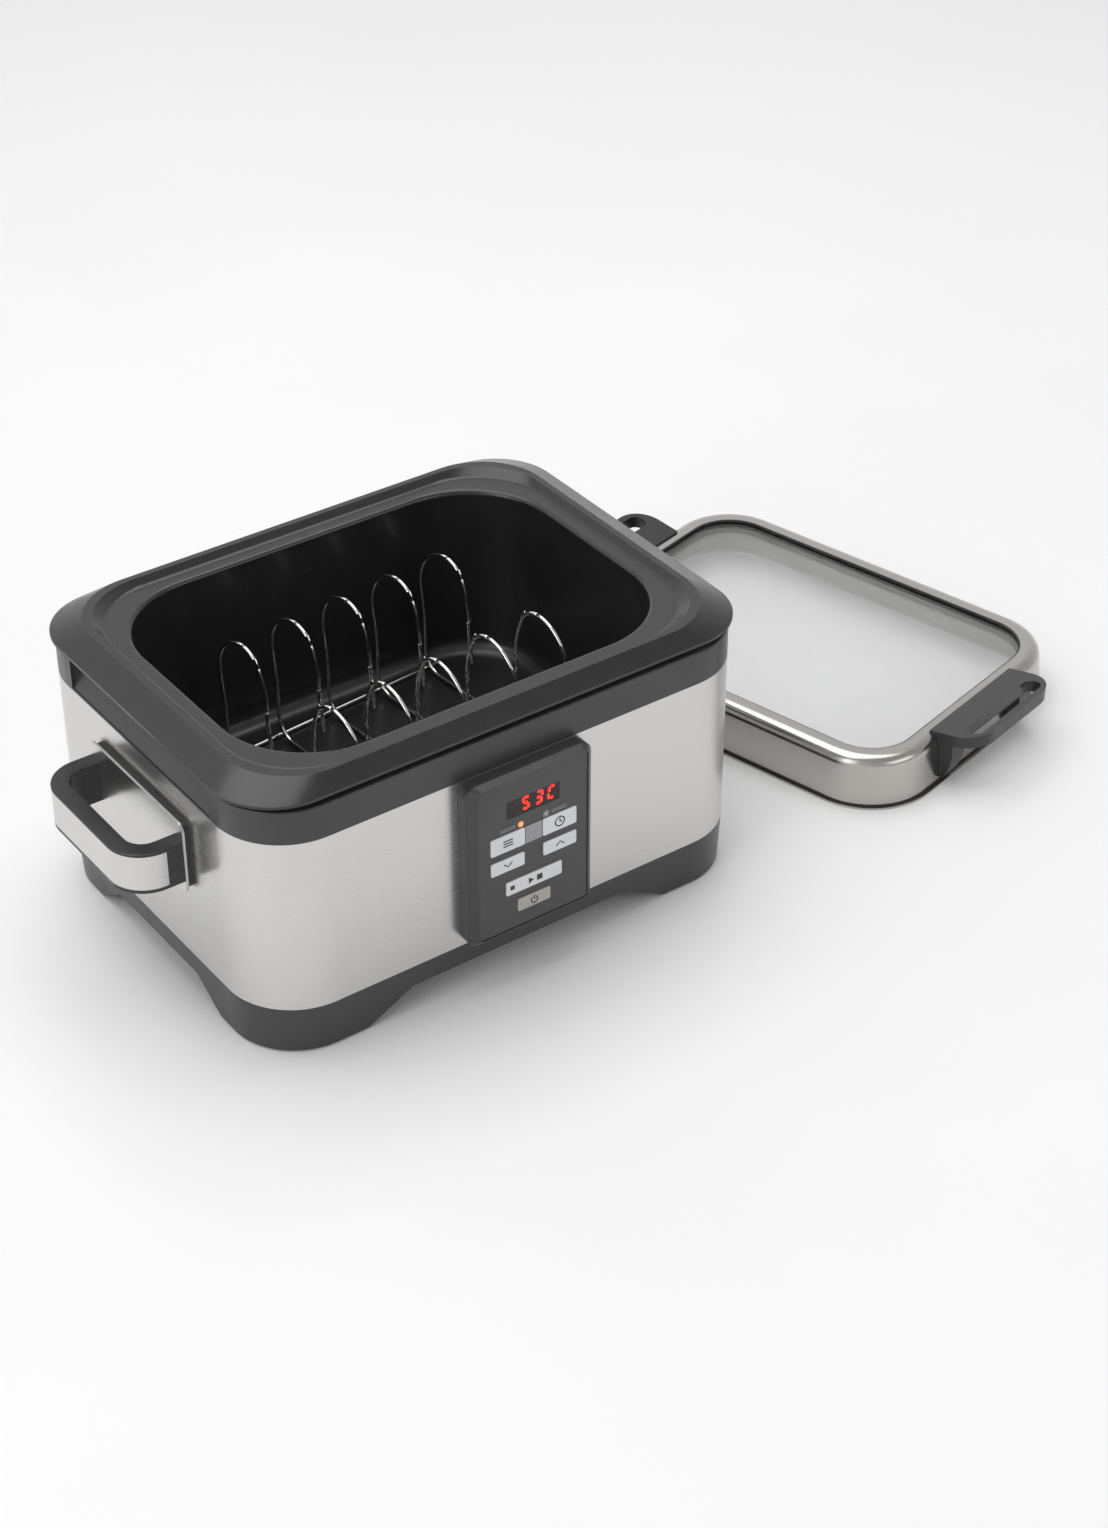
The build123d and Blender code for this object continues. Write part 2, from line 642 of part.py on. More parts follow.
def panel_housing():
    face, overlay_front, overlay_back, plate_back, board_front = panel_planes()
    side = panel_face(panel_size(0), PANEL_CORNER, FRONT - PANEL_SIDE)
    front = front_face(0, PANEL_CORNER - PANEL_BEVEL + 1, face)
    housing = extrude(panel_face(panel_size(0), PANEL_CORNER, FRONT), PANEL_SIDE) + loft([side, front], ruled=True)
    hollow = panel_size(PANEL_BEVEL + PANEL_WALL)
    housing -= deep(panel_face(hollow, 2.0, plate_back), FRONT - PANEL_BACK - plate_back)
    housing -= deep(front_face(OVERLAY_BORDER, 3.0, face), OVERLAY_SINK + OVERLAY_THICK)
    sleeve = grown(shell_window_size(), -TONGUE_GAP)
    housing += deep(panel_face(sleeve, PANEL_CORNER / 2, FRONT - 1), 1 + SLEEVE_DEPTH)
    housing -= deep(panel_face(grown(sleeve, -PANEL_WALL), 2.0, board_front), SLEEVE_DEPTH + PANEL_SIDE)
    for name in KEYS:
        housing -= key_cut(name, KEY_FLANGE_OUT + KEY_GAP, overlay_back, FACE_PLATE)
    half_x, half_z = (side / 2 - BOARD_POST_INSET for side in hollow)
    for sx, sz in [(-1, -1), (-1, 1), (1, -1), (1, 1)]:
        x, z = sx * half_x, panel_centre() + sz * half_z
        housing += rod(BOARD_POST_RADIUS, (x, plate_back, z), (x, board_front, z))
    housing -= deep(panel_face(WINDOW_SIZE, 0.5, overlay_back, WINDOW_UP), FACE_PLATE)
    for x in (-LAMP_X, LAMP_X):
        housing -= lamp_bar(x, overlay_back, FACE_PLATE, LAMP_RADIUS)
    return housing


def panel_overlay():
    _, front, _, _, _ = panel_planes()
    overlay = deep(front_face(OVERLAY_BORDER + OVERLAY_GAP, 3.0 - OVERLAY_GAP, front), OVERLAY_THICK)
    for name in KEYS:
        overlay -= key_cut(name, KEY_GAP, front, OVERLAY_THICK)
    overlay -= deep(panel_face(STRIP_SIZE, 0.3, front, TOP_KEY_UP), OVERLAY_THICK)
    overlay -= deep(panel_face(WINDOW_SIZE, 0.5, front, WINDOW_UP), OVERLAY_THICK)
    for x in (-LAMP_X, LAMP_X):
        overlay -= lamp_bar(x, front, OVERLAY_THICK, LAMP_RADIUS)
    return overlay


def display_window():
    _, front, _, _, _ = panel_planes()
    return deep(panel_face(WINDOW_SIZE, 0.5, front, WINDOW_UP), WINDOW_THICK)


def key_strip():
    """The fixed silver strip between the two upper keys."""
    _, front, _, _, _ = panel_planes()
    return deep(panel_face(STRIP_SIZE, 0.3, front - STRIP_PROUD, TOP_KEY_UP), STRIP_PROUD + OVERLAY_THICK)


def segment_boxes(lit):
    """The lit bars of one seven-segment figure, in its own upright plane."""
    width, height = DIGIT_SIZE
    half_x = width / 2
    half_z = height / 2
    bar = width - 2 * DIGIT_STROKE - 0.4
    post = half_z - DIGIT_STROKE - 0.2
    level = {"a": half_z - DIGIT_STROKE / 2, "g": 0, "d": DIGIT_STROKE / 2 - half_z}
    upright = {"f": (-1, 1), "b": (1, 1), "e": (-1, -1), "c": (1, -1)}
    bars = [Pos(0, level[s]) * Rectangle(bar, DIGIT_STROKE) for s in lit if s in level]
    for s in lit:
        if s in upright:
            sx, sz = upright[s]
            bars.append(Pos(sx * (half_x - DIGIT_STROKE / 2), sz * half_z / 2) * Rectangle(DIGIT_STROKE, post))
    return bars


def display_digits():
    _, front, _, _, _ = panel_planes()
    z = panel_centre() + WINDOW_UP
    back = front + WINDOW_THICK
    figures = ["acdfg", "abcdg", "adef"]
    solids = []
    for place, lit in enumerate(reversed(figures)):
        x = DIGIT_RIGHT - place * DIGIT_PITCH
        plane = Plane(origin=(x, back, z), x_dir=(1, 0, 0), z_dir=(0, -1, 0))
        for bar in segment_boxes(lit):
            lean = bar.center().Y * sin(radians(DIGIT_SLANT))
            solids.append(extrude(plane * (Pos(lean, 0) * bar), -DIGIT_THICK))
    return solids


def display_module():
    """The block of light-emitting segments on the control board."""
    _, front, _, _, board_front = panel_planes()
    start = front + WINDOW_THICK + DIGIT_THICK
    return deep(panel_face(grown(WINDOW_SIZE, -0.4), 0.3, start, WINDOW_UP), board_front - start)


def mode_lamp(x):
    _, front, _, _, board_front = panel_planes()
    return lamp_bar(x, front - LAMP_PROUD, board_front - front + LAMP_PROUD, LAMP_RADIUS - FIT_GAP)


def start_lamp_cut(step):
    """The square light in the start key."""
    _, front, _, _, _ = panel_planes()
    size = (START_LAMP_SIZE + 2 * step, START_LAMP_SIZE + 2 * step)
    return panel_face(size, 0.4, front - KEY_PROUD, START_KEY_UP, -START_LAMP_X)


def key_cap(name):
    size, x, up = KEYS[name]
    _, front, overlay_back, plate_back, board_front = panel_planes()
    cap = deep(panel_face(size, KEY_CORNER, front - KEY_PROUD, up, x), KEY_PROUD + OVERLAY_THICK + FIT_GAP)
    cap = fillet(cap.faces().sort_by(Axis.Y)[0].edges(), 0.3)
    flange_front = overlay_back + FIT_GAP
    flange = panel_face(grown(size, KEY_FLANGE_OUT), KEY_CORNER + KEY_FLANGE_OUT, flange_front, up, x)
    cap += deep(flange, KEY_FLANGE)
    z = panel_centre() + up
    stem_end = board_front - SWITCH_HEIGHT - 0.5 - KEY_TRAVEL - FIT_GAP
    cap += rod(KEY_STEM_RADIUS, (x, flange_front, z), (x, stem_end, z))
    if name == "start_key":
        cap -= deep(start_lamp_cut(0), START_LAMP_SIZE / 2)
    return cap


def start_lamp():
    return deep(start_lamp_cut(-FIT_GAP / 2), START_LAMP_SIZE / 2)


def key_switches():
    """One small push switch on the board behind each key."""
    *_, board_front = panel_planes()
    solids = []
    for size, x, up in KEYS.values():
        z = panel_centre() + up
        body = block((x - SWITCH_SIZE / 2, board_front - SWITCH_HEIGHT, z - SWITCH_SIZE / 2),
                     (x + SWITCH_SIZE / 2, board_front, z + SWITCH_SIZE / 2))
        solids.append(body + rod(SWITCH_PLUNGER, (x, board_front - SWITCH_HEIGHT - 0.5, z), (x, board_front, z)))
    return solids


def control_board():
    *_, board_front = panel_planes()
    size = panel_size(PANEL_BEVEL + PANEL_WALL + 0.5)
    return deep(panel_face(size, 1.5, board_front), BOARD_THICK)


# ---- power electronics ----
def power_board_z():
    return TRAY_FLOOR_BOTTOM + TRAY_FLOOR + STANDOFF


def power_board():
    half_x, half_y = POWER_BOARD[0] / 2, POWER_BOARD[1] / 2
    z = power_board_z()
    board = block((-half_x, POWER_BOARD_Y - half_y, z), (half_x, POWER_BOARD_Y + half_y, z + BOARD_THICK))
    for x, y in power_board_holes():
        board -= Pos(x, y, z) * extrude(Circle(BOARD_SCREW_RADIUS + FIT_GAP), BOARD_THICK)
    return board


def power_parts():
    """Relay, transformer, mains capacitor, fuse holder and terminal block."""
    z = power_board_z() + BOARD_THICK
    y = POWER_BOARD_Y
    relay = block((-44, y - 10, z), (-25, y + 6, z + 15))
    transformer = block((-16, y - 13, z), (12, y + 12, z + 16))
    capacitor = Pos(24, y, z) * extrude(Circle(5), 14)
    film = block((33, y - 8, z), (39, y + 9, z + 12))
    terminals = block((43, y - 12, z), (51, y + 12, z + 10))
    return [relay, transformer, capacitor, film, terminals]


def board_screws():
    top = power_board_z() + BOARD_THICK
    length = BOARD_THICK + STANDOFF
    screws = []
    for x, y in power_board_holes():
        screw = Pos(x, y, top - length) * extrude(Circle(BOARD_SCREW_RADIUS), length)
        screws.append(screw + Pos(x, y, top) * extrude(Circle(2 * BOARD_SCREW_RADIUS), 1.8))
    return screws


# ---- base handles, drawn at the left end ----
def handle_loop(grow, bottom, top):
    """A D-shaped block whose straight side lies against the handle's mounting plate."""
    root = -SIDE - MOUNT_SPACER - MOUNT_PLATE
    half = HANDLE_LENGTH / 2 + grow
    tip = root - HANDLE_OUT - grow
    corner = HANDLE_CORNER + grow
    lines = [
        Line((root, -half), (tip + corner, -half)),
        RadiusArc((tip + corner, -half), (tip, corner - half), corner),
        Line((tip, corner - half), (tip, half - corner)),
        RadiusArc((tip, half - corner), (tip + corner, half), corner),
        Line((tip + corner, half), (root, half)),
        Line((root, half), (root, -half)),
    ]
    return extrude(Pos(0, 0, bottom) * make_face(Wire(lines)), top - bottom)


def handle_grip():
    grip = handle_loop(0, HANDLE_BOTTOM, HANDLE_TOP)
    rim = grip.edges().group_by(Axis.Z)[-1].sort_by(Axis.X)[:-1]
    grip = fillet(rim, 1.0)
    grip -= handle_loop(-HANDLE_BAR, HANDLE_BOTTOM, HANDLE_TOP)
    band_root = -SIDE - MOUNT_SPACER - MOUNT_PLATE - BAND_END
    channel = handle_loop(0, BAND_BOTTOM, BAND_TOP) - handle_loop(-BAND_SHEET, BAND_BOTTOM, BAND_TOP)
    grip -= channel & block((band_root - HANDLE_OUT, -HANDLE_LENGTH, BAND_BOTTOM), (band_root, HANDLE_LENGTH, BAND_TOP))
    root = -SIDE - MOUNT_SPACER - MOUNT_PLATE
    for y, z in handle_screw_places():
        grip -= rod(HANDLE_SCREW_RADIUS + FIT_GAP, (root - HANDLE_SCREW_REACH, y, z), (root, y, z))
    return grip


def handle_band():
    band_root = -SIDE - MOUNT_SPACER - MOUNT_PLATE - BAND_END
    band = handle_loop(0, BAND_BOTTOM, BAND_TOP) - handle_loop(-BAND_SHEET, BAND_BOTTOM, BAND_TOP)
    return band & block((band_root - HANDLE_OUT, -HANDLE_LENGTH, BAND_BOTTOM), (band_root, HANDLE_LENGTH, BAND_TOP))


def mount_slab(shrink, near, far):
    """A rounded upright slab beside the left wall, between two distances from it."""
    size = (MOUNT_LENGTH - 2 * shrink, MOUNT_TOP - MOUNT_BOTTOM - 2 * shrink)
    plane = Plane(origin=(-SIDE - near, 0, (MOUNT_TOP + MOUNT_BOTTOM) / 2), x_dir=(0, 1, 0), z_dir=(-1, 0, 0))
    slab = extrude(plane * RectangleRounded(size[0], size[1], 6.0 - shrink), far - near)
    for y, z in handle_screw_places():
        slab -= rod(HANDLE_SCREW_RADIUS + FIT_GAP, (-SIDE - far, y, z), (-SIDE - near, y, z))
    return slab


def handle_plate():
    return mount_slab(0, MOUNT_SPACER, MOUNT_SPACER + MOUNT_PLATE)


def handle_spacer():
    return mount_slab(2.0, 0, MOUNT_SPACER)


def handle_screws():
    screws = []
    root = -SIDE - MOUNT_SPACER - MOUNT_PLATE
    inner = -SIDE + SHELL_SHEET
    for y, z in handle_screw_places():
        screw = rod(HANDLE_SCREW_RADIUS, (root - HANDLE_SCREW_REACH, y, z), (inner, y, z))
        screw += rod(2 * HANDLE_SCREW_RADIUS, (inner, y, z), (inner + HEAD_HEIGHT, y, z))
        screws += both_sides(screw)
    return screws


# ---- cooking pot ----
def cooking_pot():
    top = tower((FLANGE, FLANGE_BOTTOM), (FLANGE, FLANGE_BOTTOM + FLANGE_EDGE), (RIDGE_OUTER, RIDGE_Z))
    under = tower((inset(FLANGE, FLANGE_SHEET), FLANGE_BOTTOM - 1), (inset(FLANGE, FLANGE_SHEET), FLANGE_BOTTOM + 0.4),
                  (inset(RIDGE_OUTER, 1.0), RIDGE_Z - FLANGE_SHEET))
    web = prism(inset(RECESS, -POT_WALL - 1), LEDGE_UNDERSIDE, RIDGE_Z)
    tub = tower((TUB_BOTTOM, POT_BOTTOM), (TUB_TOP, RECESS_Z))
    tub = fillet(tub.faces().sort_by(Axis.Z)[0].edges(), POT_FILLET + POT_WALL)
    cavity = tower((WALL_BOTTOM, POT_FLOOR), (WALL_TOP, RECESS_Z))
    cavity = fillet(cavity.faces().sort_by(Axis.Z)[0].edges(), POT_FILLET)
    recess = tower((RECESS, RECESS_Z), (RIDGE_INNER, RIDGE_Z), (RIDGE_INNER, RIDGE_Z + 1))
    pot = top - (under - web) + tub - recess - cavity
    mouth = pot.edges().filter_by(lambda e: abs(e.center().Z - RECESS_Z) < 0.05 and abs(e.center().X) < WALL_TOP[0] + 0.5
                                  and abs(e.center().Y) < WALL_TOP[1] + 0.5)
    pot = fillet(mouth, LIP_RADIUS)
    return pot + level_mark()


def level_mark():
    """A short raised rib on the back wall that shows how far the pot may be filled."""
    rise = (LEVEL_Z - POT_FLOOR) / (RECESS_Z - POT_FLOOR)
    y = WALL_BOTTOM[1] + POT_DRAFT * rise
    return block((LEVEL_X - LEVEL_LENGTH / 2, y - 0.5, LEVEL_Z - LEVEL_RIB / 2),
                 (LEVEL_X + LEVEL_LENGTH / 2, y + 0.5, LEVEL_Z + LEVEL_RIB / 2))


# ---- pouch rack ----
def rack_place(part):
    return Pos(RACK_X, RACK_Y, POT_FLOOR + RACK_REST) * Rot(0, 0, RACK_TURN) * part


def divider_wire():
    """One divider: up from the back rod, over a hump, down through a trough and up again."""
    foot = 2 * WIRE - WELD
    shoulder = RACK_FOOT + RACK_SPREAD
    hump = shoulder - RACK_TROUGH_HALF
    crown = RACK_TROUGH_HALF + 0.26 * hump
    half = [(RACK_FOOT, foot, 0), (RACK_FOOT, 42, 60), (shoulder, 66, 60), (shoulder, RACK_HEIGHT, 0.4 * hump),
            (crown, RACK_HEIGHT, 0.57 * hump), (RACK_TROUGH_HALF - 0.5, 78, 8), (RACK_TROUGH_HALF + 1.5, 54, 30),
            (RACK_TROUGH_HALF - 2, RACK_TROUGH, 15)]
    right = [(t, z) for t, z, _ in reversed(half)]
    left = [(-t, z) for t, z, _ in half]
    radii = [r for _, _, r in half[1:]]
    points = [(0, t, z) for t, z in left + right]
    path = FilletPolyline(*points, radius=radii + radii[::-1])
    return sweep(Plane(origin=path @ 0, z_dir=path % 0) * Circle(WIRE), path=path)


def rack_dividers():
    wire = divider_wire()
    middle = (RACK_COUNT - 1) / 2
    return [rack_place(Pos((i - middle) * RACK_PITCH, 0, 0) * wire) for i in range(RACK_COUNT)]


def rack_rods():
    half = (RACK_COUNT - 1) / 2 * RACK_PITCH + RACK_ROD_OVER
    return [rack_place(rod(WIRE, (-half, y, WIRE), (half, y, WIRE))) for y in (-RACK_FOOT, RACK_FOOT)]


# ---- lid, drawn about its own middle with its lip on the floor ----
LIP = inset(RECESS, LID_CLEARANCE)
SKIRT_LOW = inset(LIP, LID_LIP)
SKIRT_TOP = inset(SKIRT_LOW, LID_DRAFT)
LID_MOUTH = inset(SKIRT_TOP, LID_RIM, corner=LID_MOUTH_CORNER)
GLASS = inset(LID_MOUTH, -GLASS_LAP)


def lid_place(part):
    return Pos(LID_X, LID_Y, 0) * Rot(0, 0, LID_TURN) * part


def lid_hood(step, top):
    """The lid frame's outer or inner skin as a solid."""
    hood = tower((inset(SKIRT_LOW, step), 0), (inset(SKIRT_TOP, step), top))
    return fillet(hood.faces().sort_by(Axis.Z)[-1].edges(), LID_SHOULDER - step)


def lid_screw_bars(radius, low, high):
    """Bars along X through both ends of the lid, at the grips' screws."""
    z = LID_HEIGHT / 2
    return [rod(radius, (sx * low, y, z), (sx * high, y, z)) for sx in (-1, 1) for y in (-LID_SCREW_Y, LID_SCREW_Y)]


def lid_frame():
    frame = lid_hood(0, LID_HEIGHT) + prism(LIP, 0, LID_LIP_THICK)
    frame -= lid_hood(LID_SHEET, LID_HEIGHT - LID_SHEET)
    frame -= prism(LID_MOUTH, 0, LID_HEIGHT)
    for bar in lid_screw_bars(LID_SCREW_RADIUS + FIT_GAP, SKIRT_TOP[0] - 5, SKIRT_LOW[0] + 5):
        frame -= bar
    return frame


def glass_top():
    return LID_HEIGHT - LID_SHEET - GASKET_WALL


def lid_glass():
    return prism(GLASS, glass_top() - GLASS_THICK, glass_top())


def lid_gasket():
    """The channel seal around the glass, with a bead that fills the frame's mouth."""
    bottom = glass_top() - GLASS_THICK - GASKET_WALL
    gasket = prism(inset(GLASS, -GASKET_WALL), bottom, LID_HEIGHT - LID_SHEET)
    gasket += prism(LID_MOUTH, LID_HEIGHT - LID_SHEET, LID_HEIGHT - 0.3)
    gasket -= prism(inset(LID_MOUTH, GASKET_BEAD), bottom, LID_HEIGHT)
    return gasket - prism(GLASS, glass_top() - GLASS_THICK, glass_top())


def lid_seal():
    """The dark ring that sits in the corner between the skirt and the lip."""
    top = LID_LIP_THICK + SEAL_HEIGHT
    ring = prism(inset(SKIRT_LOW, -SEAL_OUT), LID_LIP_THICK, top)
    return ring - prism(SKIRT_LOW, LID_LIP_THICK, top)


def grip_outline():
    """The grip seen from above: square at the frame, rounded at its outer corners."""
    inner = SKIRT_TOP[0] - GRIP_LAP
    outer = SKIRT_LOW[0] + GRIP_OUT
    half = GRIP_LENGTH / 2
    lines = [
        Line((inner, -half), (outer - GRIP_CORNER, -half)),
        RadiusArc((outer - GRIP_CORNER, -half), (outer, GRIP_CORNER - half), -GRIP_CORNER),
        Line((outer, GRIP_CORNER - half), (outer, half - GRIP_CORNER)),
        RadiusArc((outer, half - GRIP_CORNER), (outer - GRIP_CORNER, half), -GRIP_CORNER),
        Line((outer - GRIP_CORNER, half), (inner, half)),
        Line((inner, half), (inner, -half)),
    ]
    return make_face(Wire(lines))


def grip_profile():
    """The grip seen from its end: a bar that rises outwards over a foot that hugs the skirt."""
    inner = SKIRT_TOP[0] - GRIP_LAP
    outer = SKIRT_LOW[0] + GRIP_OUT
    top = LID_HEIGHT + GRIP_RISE
    under = top - GRIP_BAR_DEEP
    foot = SKIRT_LOW[0] + 2.5
    root = outer - GRIP_SLOT_EDGE - GRIP_SLOT_WIDTH - 1.5
    lines = [
        Line((inner, LID_HEIGHT + 1.4), (outer, top)),
        Line((outer, top), (outer + 0.5, under)),
        Line((outer + 0.5, under), (root, under - 2)),
        RadiusArc((root, under - 2), (foot, GRIP_FOOT_Z), 40),
        Line((foot, GRIP_FOOT_Z), (inner, GRIP_FOOT_Z)),
        Line((inner, GRIP_FOOT_Z), (inner, LID_HEIGHT + 1.4)),
    ]
    return Plane.XZ * make_face(Wire(lines))


def lid_grip():
    grip = extrude(grip_outline(), LID_HEIGHT + 2 * GRIP_RISE) & extrude(grip_profile(), GRIP_LENGTH, both=True)
    hood = tower((inset(SKIRT_LOW, -GRIP_GAP), 0), (inset(SKIRT_TOP, -GRIP_GAP), LID_HEIGHT + GRIP_GAP))
    grip -= fillet(hood.faces().sort_by(Axis.Z)[-1].edges(), LID_SHOULDER)
    slot_x = SKIRT_LOW[0] + GRIP_OUT - GRIP_SLOT_EDGE - GRIP_SLOT_WIDTH / 2
    slot = RectangleRounded(GRIP_SLOT_WIDTH, GRIP_SLOT_LENGTH, GRIP_SLOT_WIDTH / 2.2)
    grip -= extrude(Pos(slot_x, 0, 0) * slot, 2 * LID_HEIGHT)
    arch_half = GRIP_LENGTH / 2 - GRIP_BRACKET
    arch_top = LID_HEIGHT + GRIP_RISE - GRIP_BAR_DEEP - 5
    grip -= block((SKIRT_TOP[0], -arch_half, 0), (SKIRT_LOW[0] + GRIP_OUT + 1, arch_half, arch_top))
    for bar in lid_screw_bars(LID_SCREW_RADIUS + FIT_GAP, SKIRT_TOP[0] - 2, SKIRT_TOP[0] + LID_SCREW_REACH):
        grip -= bar
    return grip


def lid_screws():
    inner = SKIRT_TOP[0] - 2.5
    hood = lid_hood(LID_SHEET + FIT_GAP, LID_HEIGHT - LID_SHEET)
    bars = lid_screw_bars(LID_SCREW_RADIUS, inner, SKIRT_TOP[0] + LID_SCREW_REACH)
    heads = lid_screw_bars(2 * LID_SCREW_RADIUS, inner, SKIRT_TOP[0] + LID_DRAFT)
    return [bar + (head & hood) for bar, head in zip(bars, heads)]


# ---- every node, by name ----
def left_and_right(name, part):
    left, right = both_sides(part)
    return {f"left_{name}": left, f"right_{name}": right}


NODES = {
    "base_tray": base_tray(),
    "foot_pads": foot_pads(),
    "tie_bolts": tie_bolts(),
    "tie_nuts": tie_nuts(),
    "outer_shell": outer_shell(),
    "cord_gland": cord_gland(),
    "top_bezel": top_bezel(),
    "heater_liner": heater_liner(),
    "heater_plate": heater_plate(),
    "heating_element": heating_element(),
    "element_bushes": element_bushes(),
    "element_tabs": element_tabs(),
    "temperature_sensor": temperature_sensor(),
    "sensor_spring": sensor_spring(),
    "thermal_fuse": thermal_fuse(),
    "panel_housing": panel_housing(),
    "panel_overlay": panel_overlay(),
    "display_window": display_window(),
    "display_digits": display_digits(),
    "display_module": display_module(),
    "key_strip": key_strip(),
    "sous_vide_lamp": mode_lamp(-LAMP_X),
    "slow_cook_lamp": mode_lamp(LAMP_X),
    "start_lamp": start_lamp(),
    "key_switches": key_switches(),
    "control_board": control_board(),
    "power_board": power_board(),
    "power_parts": power_parts(),
    "board_screws": board_screws(),
    "handle_screws": handle_screws(),
    "cooking_pot": cooking_pot(),
    "rack_dividers": rack_dividers(),
    "rack_rods": rack_rods(),
    "lid_frame": lid_place(lid_frame()),
    "lid_glass": lid_place(lid_glass()),
    "lid_gasket": lid_place(lid_gasket()),
    "lid_seal": lid_place(lid_seal()),
    "lid_near_grip": lid_place(lid_grip()),
    "lid_far_grip": lid_place(mirror(lid_grip(), about=Plane.YZ)),
    "lid_screws": [lid_place(screw) for screw in lid_screws()],
}
NODES.update({name: key_cap(name) for name in KEYS})
NODES.update(left_and_right("handle_grip", handle_grip()))
NODES.update(left_and_right("handle_band", handle_band()))
NODES.update(left_and_right("handle_plate", handle_plate()))
NODES.update(left_and_right("handle_spacer", handle_spacer()))

os.makedirs("parts", exist_ok=True)
for name, part in NODES.items():
    solids = part if isinstance(part, list) else part.solids()
    export_step(Compound(children=list(solids)), f"parts/{name}.step")
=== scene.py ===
import json
import math

import bmesh
import bpy
from mathutils import Matrix, Vector


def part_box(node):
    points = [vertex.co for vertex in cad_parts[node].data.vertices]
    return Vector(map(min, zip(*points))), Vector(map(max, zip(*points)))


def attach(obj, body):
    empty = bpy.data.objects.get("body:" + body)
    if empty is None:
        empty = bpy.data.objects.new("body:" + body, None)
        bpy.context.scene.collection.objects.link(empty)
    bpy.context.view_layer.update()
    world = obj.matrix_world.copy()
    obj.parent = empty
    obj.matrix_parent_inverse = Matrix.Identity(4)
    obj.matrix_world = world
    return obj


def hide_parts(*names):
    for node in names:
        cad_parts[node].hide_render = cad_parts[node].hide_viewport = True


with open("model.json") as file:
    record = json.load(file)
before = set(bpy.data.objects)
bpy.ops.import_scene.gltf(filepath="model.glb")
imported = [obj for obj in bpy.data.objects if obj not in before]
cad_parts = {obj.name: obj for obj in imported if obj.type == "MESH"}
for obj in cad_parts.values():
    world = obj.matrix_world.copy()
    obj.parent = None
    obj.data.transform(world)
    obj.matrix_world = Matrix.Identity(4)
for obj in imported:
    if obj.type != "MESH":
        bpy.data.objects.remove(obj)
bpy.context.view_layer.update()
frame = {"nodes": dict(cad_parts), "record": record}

NODES = frame["nodes"]
MM = 0.001


# ---- camera ----
TARGET = Vector((0.05756, -0.08958, 0.1))
DISTANCE = 1.81526
AZIMUTH = math.radians(-35.82)
ELEVATION = math.radians(35.22)


def make_camera():
    flat = math.cos(ELEVATION)
    back = Vector((flat * math.sin(AZIMUTH), -flat * math.cos(AZIMUTH), math.sin(ELEVATION)))
    data = bpy.data.cameras.new("camera")
    data.lens = 69.03
    data.sensor_width = 36.0
    data.sensor_fit = "AUTO"
    data.clip_end = 50.0
    camera = bpy.data.objects.new("camera", data)
    camera.location = TARGET + back * DISTANCE
    camera.rotation_euler = (-back).to_track_quat("-Z", "Y").to_euler()
    bpy.context.scene.collection.objects.link(camera)
    bpy.context.scene.camera = camera


# ---- materials ----
RANGE_SOCKETS = ("From Min", "From Max", "To Min", "To Max")


class Graph:
    """A short way to build one node material."""

    def __init__(self, name, **values):
        self.material = bpy.data.materials.new(name)
        self.material.use_nodes = True
        self.tree = self.material.node_tree
        self.shader = self.tree.nodes["Principled BSDF"]
        for key, value in values.items():
            self.shader.inputs[key.replace("_", " ")].default_value = value

    def node(self, kind, **settings):
        made = self.tree.nodes.new(kind)
        for key, value in settings.items():
            setattr(made, key, value)
        return made

    def link(self, a, b):
        self.tree.links.new(a, b)

    def coords(self, scale=(1, 1, 1)):
        coord = self.node("ShaderNodeTexCoord")
        mapping = self.node("ShaderNodeMapping")
        mapping.inputs["Scale"].default_value = scale
        self.link(coord.outputs["Object"], mapping.inputs["Vector"])
        return mapping.outputs["Vector"]

    def noise(self, scale, stretch=(1, 1, 1), detail=3.0, rough=0.5):
        made = self.node("ShaderNodeTexNoise")
        made.inputs["Scale"].default_value = scale
        made.inputs["Detail"].default_value = detail
        made.inputs["Roughness"].default_value = rough
        self.link(self.coords(stretch), made.inputs["Vector"])
        return made.outputs["Fac"]

    def ramp(self, source, low, high, start=0.3, end=0.7):
        made = self.node("ShaderNodeMapRange")
        for key, value in zip(RANGE_SOCKETS, (start, end, low, high)):
            made.inputs[key].default_value = value
        self.link(source, made.inputs["Value"])
        return made.outputs["Result"]

    def colour(self, source, low, high, start=0.3, end=0.7):
        made = self.node("ShaderNodeMix", data_type="RGBA")
        made.inputs["A"].default_value = (*low, 1)
        made.inputs["B"].default_value = (*high, 1)
        self.link(self.ramp(source, 0, 1, start, end), made.inputs["Factor"])
        self.link(made.outputs["Result"], self.shader.inputs["Base Color"])

    def roughness(self, source, low, high):
        self.link(self.ramp(source, low, high), self.shader.inputs["Roughness"])

    def bump(self, source, depth, strength=1.0):
        made = self.node("ShaderNodeBump")
        made.inputs["Distance"].default_value = depth
        made.inputs["Strength"].default_value = strength
        self.link(source, made.inputs["Height"])
        self.link(made.outputs["Normal"], self.shader.inputs["Normal"])


